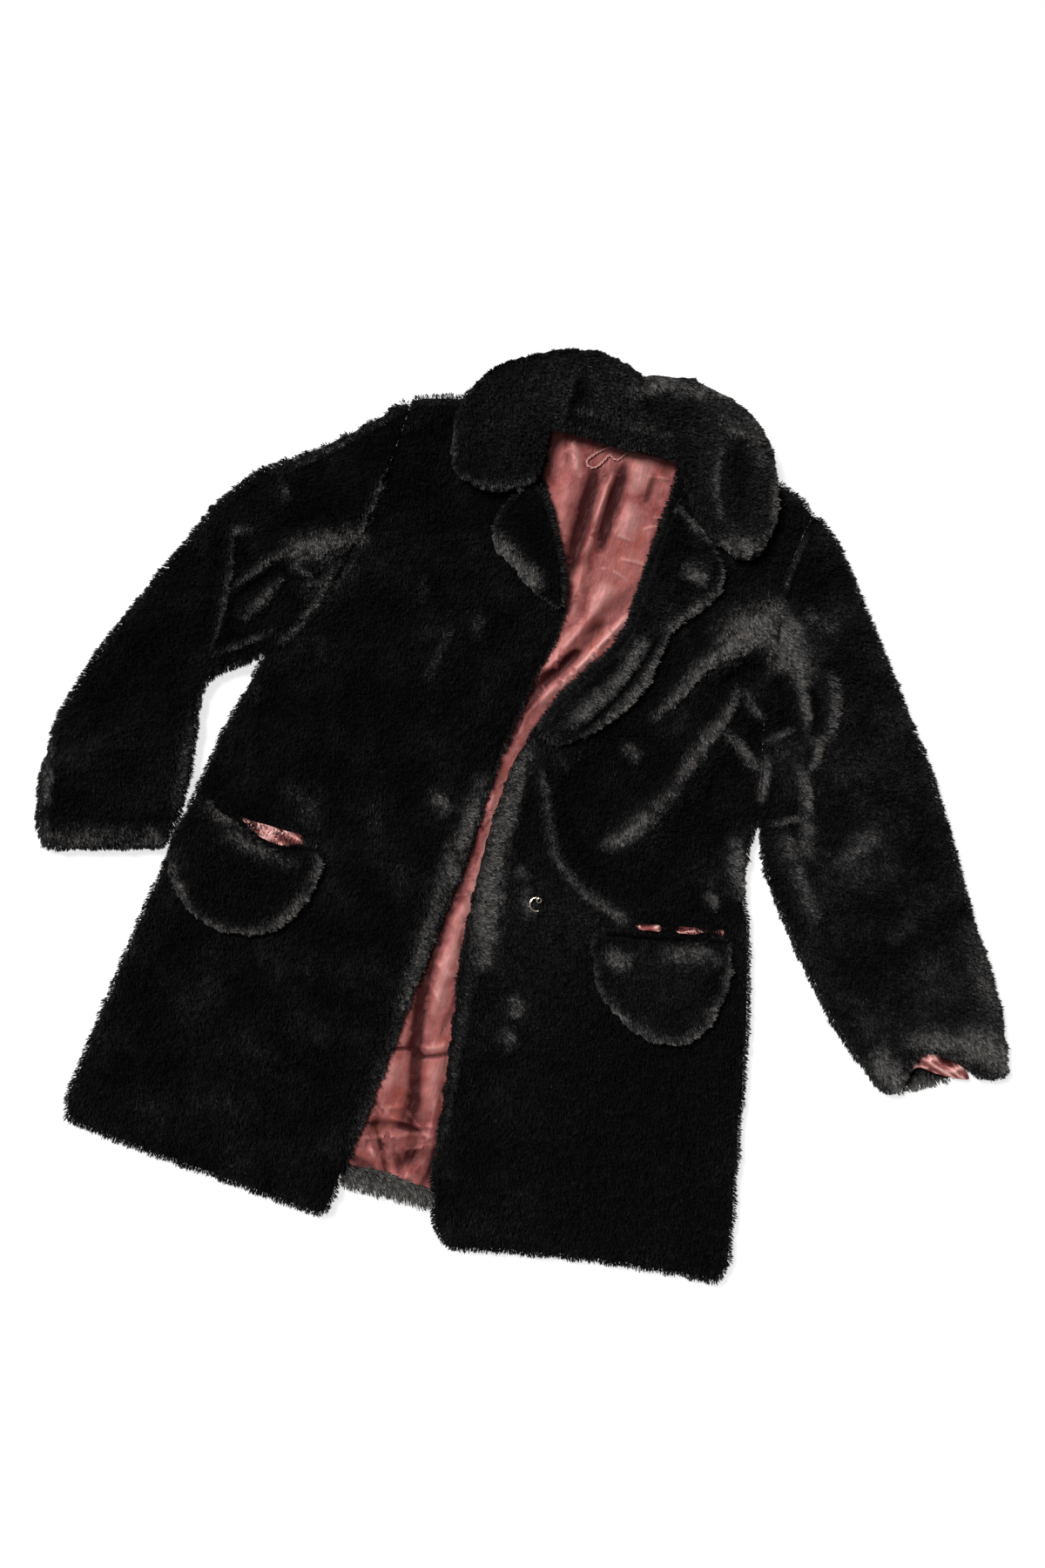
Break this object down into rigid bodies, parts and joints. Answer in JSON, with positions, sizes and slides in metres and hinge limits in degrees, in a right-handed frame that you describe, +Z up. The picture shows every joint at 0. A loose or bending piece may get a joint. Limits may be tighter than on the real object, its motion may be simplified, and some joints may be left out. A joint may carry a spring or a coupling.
{
  "type": "faux fur coat",
  "caption": "Long open-front faux fur coat laid flat and open, with a full notched collar and lapels, long sleeves, curved patch pockets and a satin lining.",
  "frame": {"origin": "centre of the coat's bounding box, on the surface that it lies on", "axes": "+Z up from the surface, +Y towards the collar, +X towards the wearer's left sleeve"},
  "size_m": [1.0559, 1.014, 0.0419],
  "materials": {
    "faux_fur": "short dense glossy pile",
    "satin_lining": "rose satin with a soft sheen",
    "hook_metal": "pale plated wire"
  },
  "bodies": {
    "root": {"back": "faux_fur", "back_hem": "faux_fur", "back_lining": "satin_lining", "hanging_loop": "satin_lining", "front_right": "faux_fur", "front_left": "faux_fur", "sleeve_right_top": "faux_fur", "sleeve_right_under": "faux_fur", "sleeve_left_top": "faux_fur", "sleeve_left_under": "faux_fur", "cuff_lining_left": "satin_lining", "under_collar": "faux_fur", "collar": "faux_fur", "lapel_right": "faux_fur", "lapel_left": "faux_fur", "pocket_right": "faux_fur", "pocket_left": "faux_fur", "pocket_lining_right": "satin_lining", "pocket_lining_left": "satin_lining", "fur_hook": "hook_metal"}
  },
  "joints": []
}
